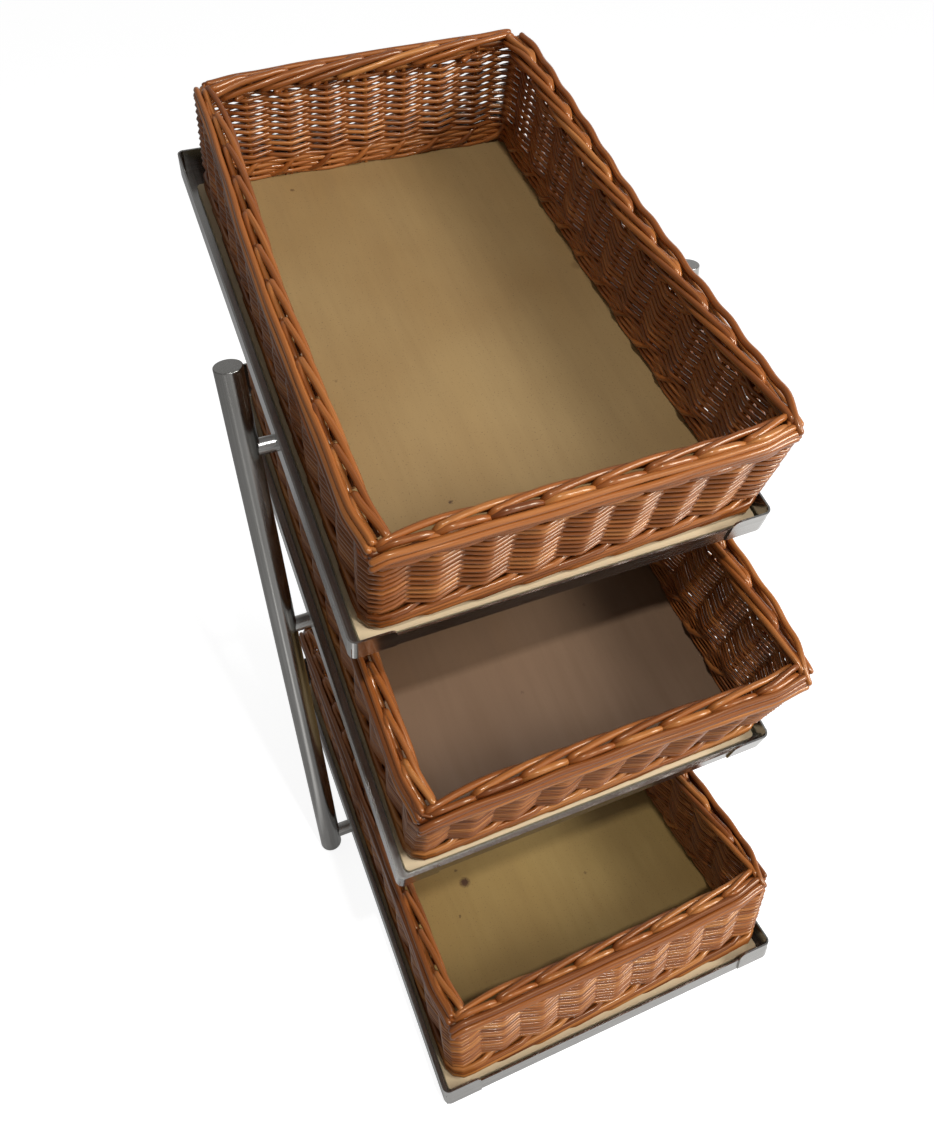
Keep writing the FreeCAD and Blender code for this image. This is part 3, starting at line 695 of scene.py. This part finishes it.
                depth = smooth_route(TIP_ROUTE[:, 0], TIP_ROUTE[:, 2], gone)
                self.border_rod(rods, side, stake + TIP_AHEAD + gone, outset, depth,
                                up=Outline.outwards(side), end=Rods.CUT_END)
            for stake in range(bays):
                gone = np.linspace(FILL_ROUTE[0, 0], FILL_ROUTE[-1, 0], 14)
                outset = smooth_route(FILL_ROUTE[:, 0], FILL_ROUTE[:, 1], gone)
                depth = smooth_route(FILL_ROUTE[:, 0], FILL_ROUTE[:, 2], gone)
                sag = 0 if side == FRONT else FILL_SAG
                depth = depth + sag * eased(gone / SAG_BAYS)
                self.border_rod(rods, side, stake + TIP_AHEAD + gone, outset, depth)
            for stake in range(1, bays + 1):
                before = np.linspace(UNDER_ROUTE[-1, 0], UNDER_ROUTE[0, 0], 24)
                run = stake + UNDER_AHEAD - before
                before = before[(run > UNDER_START) & (run < bays + UNDER_PAST)]
                outset = smooth_route(UNDER_ROUTE[:, 0], UNDER_ROUTE[:, 1], before)
                depth = smooth_route(UNDER_ROUTE[:, 0], UNDER_ROUTE[:, 2], before)
                self.border_rod(rods, side, stake + UNDER_AHEAD - before, outset, depth)
        made = rods.build(f"{self.level}_basket_border_rods", self.axes, WILLOW, self.body)
        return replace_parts(made, f"{self.level}_basket_border")


def dress(material, *nodes):
    """Gives CAD nodes a material."""
    for node in nodes:
        for holder in frame["nodes"][node].material_slots:
            holder.material = material


def seen_rays(tree):
    """Two masks: rays from the camera, and rays that mirror or pass through something."""
    seen = add_node(tree, "ShaderNodeLightPath").outputs
    mirrored = computed(tree, "MAXIMUM", seen["Is Glossy Ray"], seen["Is Transmission Ray"])
    return seen["Is Camera Ray"], mirrored


def add_floor():
    """Pale floor that shows white to the camera and keeps the stand's shadow. Only in reflections is its glow
    painted darker on the left, with a bright strip that runs off from the left post, as a painted reflection
    for the metal."""
    mesh = bpy.data.meshes.new("floor")
    corners = [(x * FLOOR_REACH, y * FLOOR_REACH, 0) for x, y in ((-1, -1), (1, -1), (1, 1), (-1, 1))]
    mesh.from_pydata(corners, [], [(0, 1, 2, 3)])
    floor = bpy.data.objects.new("floor", mesh)
    bpy.context.scene.collection.objects.link(floor)
    material, tree, shader = new_material("pale_floor")
    shader.inputs["Base Color"].default_value = (0.4, 0.4, 0.4, 1)
    shader.inputs["Roughness"].default_value = 0.9
    shader.inputs["Specular IOR Level"].default_value = 0.0
    camera, mirrored = seen_rays(tree)
    place = add_node(tree, "ShaderNodeTexCoord").outputs["Object"]
    part = add_node(tree, "ShaderNodeSeparateXYZ", inputs={"Vector": place}).outputs
    # Painted reflection: seen only in mirrors, the floor's glow is darker on the left
    room = spread(tree, part["X"], *FLOOR_SHADE, DARK_SIDE, 1.0)
    # Painted highlight: a bright strip, seen only in mirrors, that runs off from the left post
    across = add_node(tree, "ShaderNodeVectorMath", operation="DOT_PRODUCT", inputs={
        0: place, 1: STRIP_SQUARE}).outputs["Value"]
    aside = computed(tree, "ABSOLUTE", computed(tree, "ADD", across, STRIP_OFFSET))
    strip = computed(tree, "MULTIPLY", spread(tree, aside, *STRIP_EDGE, 1.0, 0.0),
                     spread(tree, part["X"], *STRIP_END, 1.0, 0.0))
    seen = spread(tree, camera, 0, 1, computed(tree, "ADD", room, strip), 1.0)
    shown = computed(tree, "MULTIPLY", computed(tree, "MAXIMUM", camera, mirrored), seen)
    glow = add_node(tree, "ShaderNodeEmission", inputs={
        "Color": (1, 1, 1, 1), "Strength": computed(tree, "MULTIPLY", shown, FLOOR_GLOW)})
    both = add_node(tree, "ShaderNodeAddShader", inputs={0: shader.outputs[0], 1: glow.outputs[0]})
    tree.links.new(both.outputs[0], tree.nodes["Material Output"].inputs["Surface"])
    mesh.materials.append(material)


def add_world():
    """Even light from all round. The camera sees it white; metal mirrors it white on the right, dim on the
    left and overhead."""
    world = bpy.data.worlds.new("studio")
    bpy.context.scene.world = world
    world.use_nodes = True
    tree = world.node_tree
    camera, mirrored = seen_rays(tree)
    direction = add_node(tree, "ShaderNodeTexCoord").outputs["Generated"]
    part = add_node(tree, "ShaderNodeSeparateXYZ", inputs={"Vector": direction}).outputs
    sidewards, upwards = part["X"], part["Z"]
    wall = spread(tree, sidewards, *ROOM_SHADE, DARK_SIDE, 1.0)
    room = spread(tree, upwards, *ROOM_HEIGHT, wall, CEILING)
    strength = spread(tree, camera, 0, 1, spread(tree, mirrored, 0, 1, AMBIENT, room), 1.0)
    background = tree.nodes["Background"]
    background.inputs["Color"].default_value = (1, 1, 1, 1)
    tree.links.new(strength, background.inputs["Strength"])


def add_lamp(name, place, aim, size, power):
    """Square soft lamp aimed at a point."""
    data = bpy.data.lights.new(name, "AREA")
    data.size = size
    data.energy = power
    lamp = bpy.data.objects.new(name, data)
    bpy.context.scene.collection.objects.link(lamp)
    lamp.location = place
    lamp.rotation_euler = (Vector(aim) - Vector(place)).to_track_quat("-Z", "Y").to_euler()


def add_camera():
    """Camera at the photograph's place, to the left of the stand's front and above it."""
    data = bpy.data.cameras.new("camera")
    data.sensor_width = SENSOR
    data.lens = FOCAL_PIXELS / PHOTO_HEIGHT * SENSOR
    data.shift_x = (PHOTO_WIDTH / 2 - AXIS_PIXEL[0]) / PHOTO_HEIGHT
    data.shift_y = (AXIS_PIXEL[1] - PHOTO_HEIGHT / 2) / PHOTO_HEIGHT
    camera = bpy.data.objects.new("camera", data)
    bpy.context.scene.collection.objects.link(camera)
    camera.location = CAMERA_PLACE
    look = (Vector(CAMERA_AIM) - Vector(CAMERA_PLACE)).to_track_quat("-Z", "Y")
    camera.rotation_mode = "QUATERNION"
    camera.rotation_quaternion = look @ Quaternion((0, 0, 1), CAMERA_ROLL)
    bpy.context.scene.camera = camera


# Light: strength from all round, and overhead and on the left as metal mirrors it; the floor's own glow
AMBIENT = 0.25
CEILING = 0.3
DARK_SIDE = 0.15
FLOOR_GLOW = 0.88
# Mirrored shading, from dark to bright: over the floor in metres, a painted reflection, and over directions
# sidewards and upwards
FLOOR_SHADE = (-0.3, 0.7)
ROOM_SHADE = (-0.6, 0.5)
ROOM_HEIGHT = (0.05, 0.7)
# The floor's half width; its bright strip, a painted highlight seen only in mirrors: direction square to it,
# offset, soft edge and soft end
FLOOR_REACH = 60.0
STRIP_SQUARE = (0.76, -0.65, 0)
STRIP_OFFSET = 0.13
STRIP_EDGE = (0.015, 0.05)
STRIP_END = (-0.27, -0.22)

WILLOW = willow_material("willow", (0.125, 0.028, 0.005), (0.33, 0.097, 0.019), (0.52, 0.205, 0.053))
# Tray steel and the darker post steel are shaded copies of one steel; their shade factors are painted shade
TRAY_STEEL = steel_material("tray_steel", (700, 8, 8), (8, 8, 700), 0.85)
POST_STEEL = steel_material("post_steel", (700, 700, 12), (700, 700, 12), 0.7)
FOOT_RUBBER = rubber_material()

# Board colours, pale and deep, and marks on the face: place from the middle, radius, darkness
BOARDS = {
    "top": ((0.345, 0.228, 0.093, 1), (0.27, 0.162, 0.058, 1),
            ((-65, -167, 1.6, 0.9), (-81, 216, 1.8, 0.6), (143, 44, 5, 0.3), (-112, -26, 1.5, 0.35))),
    # The middle board's colours are darker and browner: painted shade from the tray above it
    "middle": ((0.19, 0.108, 0.055, 1), (0.145, 0.077, 0.036, 1),
               ((-20, -150, 1.2, 0.5), (70, -90, 1.4, 0.4))),
    "bottom": ((0.36, 0.24, 0.078, 1), (0.27, 0.16, 0.045, 1),
               ((-80, -80, 5, 0.95), (-84, -64, 1.6, 0.7), (-98, -112, 1.4, 0.7), (40, -120, 1.5, 0.5))),
}
for seed, level in enumerate(LEVELS):
    basket = Basket(level, seed)
    basket.stakes()
    basket.weavers()
    basket.wale()
    basket.border()
    dress(plywood_material(level, basket.axes, basket.board, *BOARDS[level]), f"{level}_basket_board")
    dress(TRAY_STEEL, f"{level}_tray")
for side in ("left", "right"):
    dress(POST_STEEL, f"{side}_post", f"{side}_post_cap", f"{side}_post_plug")
    dress(TRAY_STEEL, *[f"{level}_{side}_standoff" for level in LEVELS])
    dress(FOOT_RUBBER, f"front_{side}_foot", f"back_{side}_foot")

add_floor()
add_world()
add_lamp("ceiling", (0.05, -1.3, 2.4), (0, 0, 0.45), 0.1, 22)
add_lamp("window", (1.3, -1.3, 1.35), (0, 0, 0.5), 0.75, 38)
add_camera()
bpy.context.scene.view_settings.view_transform = "Standard"
